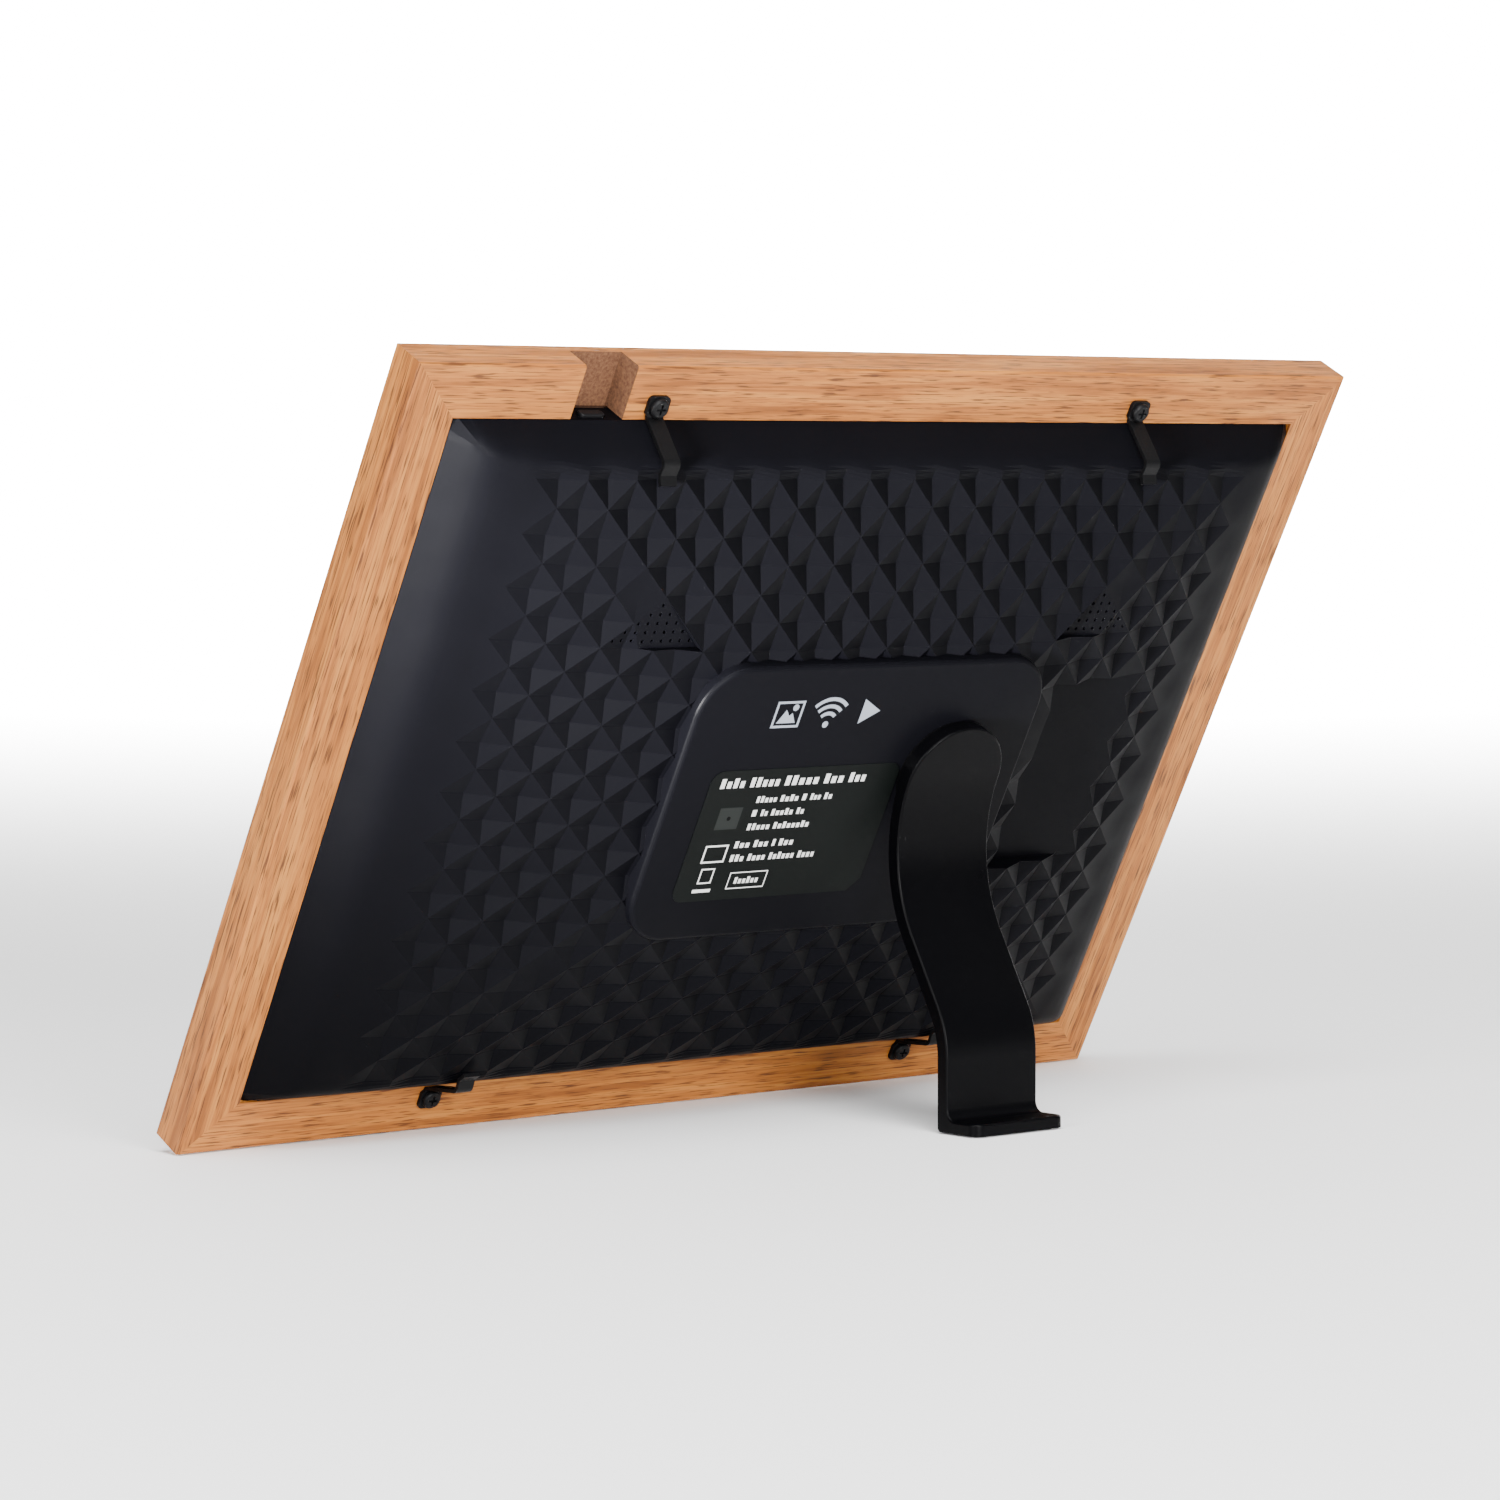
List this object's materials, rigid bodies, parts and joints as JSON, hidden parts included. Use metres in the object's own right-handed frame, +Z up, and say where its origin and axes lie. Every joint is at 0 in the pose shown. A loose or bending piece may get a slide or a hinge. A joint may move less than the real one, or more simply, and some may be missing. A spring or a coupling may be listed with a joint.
{
  "type": "digital photo frame",
  "caption": "Ten-inch digital photo frame with a mitred wood frame, facet-patterned back cover, spring clips and a quarter-turn leg.",
  "frame": {"origin": "on the standing surface, under the middle of the object's bounding box", "axes": "+Z up; the screen faces -Y and leans back 28 degrees; +X to the right as seen from the front"},
  "size_m": [0.262, 0.0985, 0.1683],
  "materials": {
    "oak_foil": "light oak grain foil on fibreboard, satin",
    "clip_steel": "blackened spring steel",
    "screw_steel": "blackened",
    "cover_plastic": "fine-grained moulded",
    "leg_plastic": "smooth matt moulded",
    "label_film": "printed film",
    "print_ink": "pad print",
    "touch_glass": "black-bordered touch glass",
    "tape": "adhesive foam tape",
    "screen": "dark, switched off",
    "backlight": "folded tray with light guide",
    "chassis_plastic": "moulded",
    "circuit_board": "solder mask",
    "tinned_steel": "tinned",
    "flex_film": "polyimide film",
    "speaker_plastic": "moulded",
    "foam": "closed-cell foam",
    "lead_insulation": "thin insulation",
    "button_plastic": "moulded",
    "pad_rubber": "matt",
    "bright_steel": "zinc plated",
    "washer_plastic": "acetal"
  },
  "bodies": {
    "frame": {"rail_top": "oak_foil", "rail_bottom": "oak_foil", "rail_left": "oak_foil", "rail_right": "oak_foil", "clip_screws": "screw_steel", "back_cover": "cover_plastic", "rating_label": "label_film", "icon_print": "print_ink", "cover_glass": "touch_glass", "glass_tape": "tape", "lcd_panel": "screen", "backlight": "backlight", "chassis": "chassis_plastic", "chassis_screws": "screw_steel", "board_screws": "screw_steel", "button_board_screws": "screw_steel", "main_board": "circuit_board", "shield_can": "tinned_steel", "wifi_module": "tinned_steel", "power_socket": "tinned_steel", "card_socket": "tinned_steel", "display_flex": "flex_film", "speaker_right": "speaker_plastic", "speaker_left": "speaker_plastic", "speaker_gaskets": "foam", "speaker_leads": "lead_insulation", "button_lead": "lead_insulation", "antenna_lead": "lead_insulation", "antenna": "circuit_board", "button_board": "circuit_board", "tact_switch": "speaker_plastic", "swivel_plate": "leg_plastic", "friction_washer": "washer_plastic"},
    "leg": {"stand_leg": "leg_plastic", "foot_pad": "pad_rubber", "pivot_bolt": "bright_steel", "spring_washer": "bright_steel"},
    "button": {"power_button": "button_plastic"},
    "spring_clip_top_left": {"clip_top_left": "clip_steel"},
    "spring_clip_top_right": {"clip_top_right": "clip_steel"},
    "spring_clip_bottom_left": {"clip_bottom_left": "clip_steel"},
    "spring_clip_bottom_right": {"clip_bottom_right": "clip_steel"}
  },
  "joints": [
    {"name": "leg_swivel", "type": "hinge", "parent": "frame", "child": "leg", "pos_m": [-0.0265, 0.02493, 0.07694], "axis": [0, 0.8829, -0.4695], "range_deg": [0, 90]},
    {"name": "power_button_press", "type": "slide", "parent": "frame", "child": "button", "axis": [0, -0.4695, -0.8829], "range_m": [0, 0.0006], "stiffness_N_per_m": 2500, "springref_m": -0.0004},
    {"name": "clip_top_left_swivel", "type": "hinge", "parent": "frame", "child": "spring_clip_top_left", "pos_m": [-0.0685, 0.04261, 0.15599], "axis": [0, 0.8829, -0.4695], "range_deg": [-90, 90]},
    {"name": "clip_top_right_swivel", "type": "hinge", "parent": "frame", "child": "spring_clip_top_right", "pos_m": [0.0685, 0.04261, 0.15599], "axis": [0, 0.8829, -0.4695], "range_deg": [-90, 90]},
    {"name": "clip_bottom_left_swivel", "type": "hinge", "parent": "frame", "child": "spring_clip_bottom_left", "pos_m": [-0.0685, -0.03635, 0.00748], "axis": [0, 0.8829, -0.4695], "range_deg": [-90, 90]},
    {"name": "clip_bottom_right_swivel", "type": "hinge", "parent": "frame", "child": "spring_clip_bottom_right", "pos_m": [0.0685, -0.03635, 0.00748], "axis": [0, 0.8829, -0.4695], "range_deg": [-90, 90]}
  ]
}
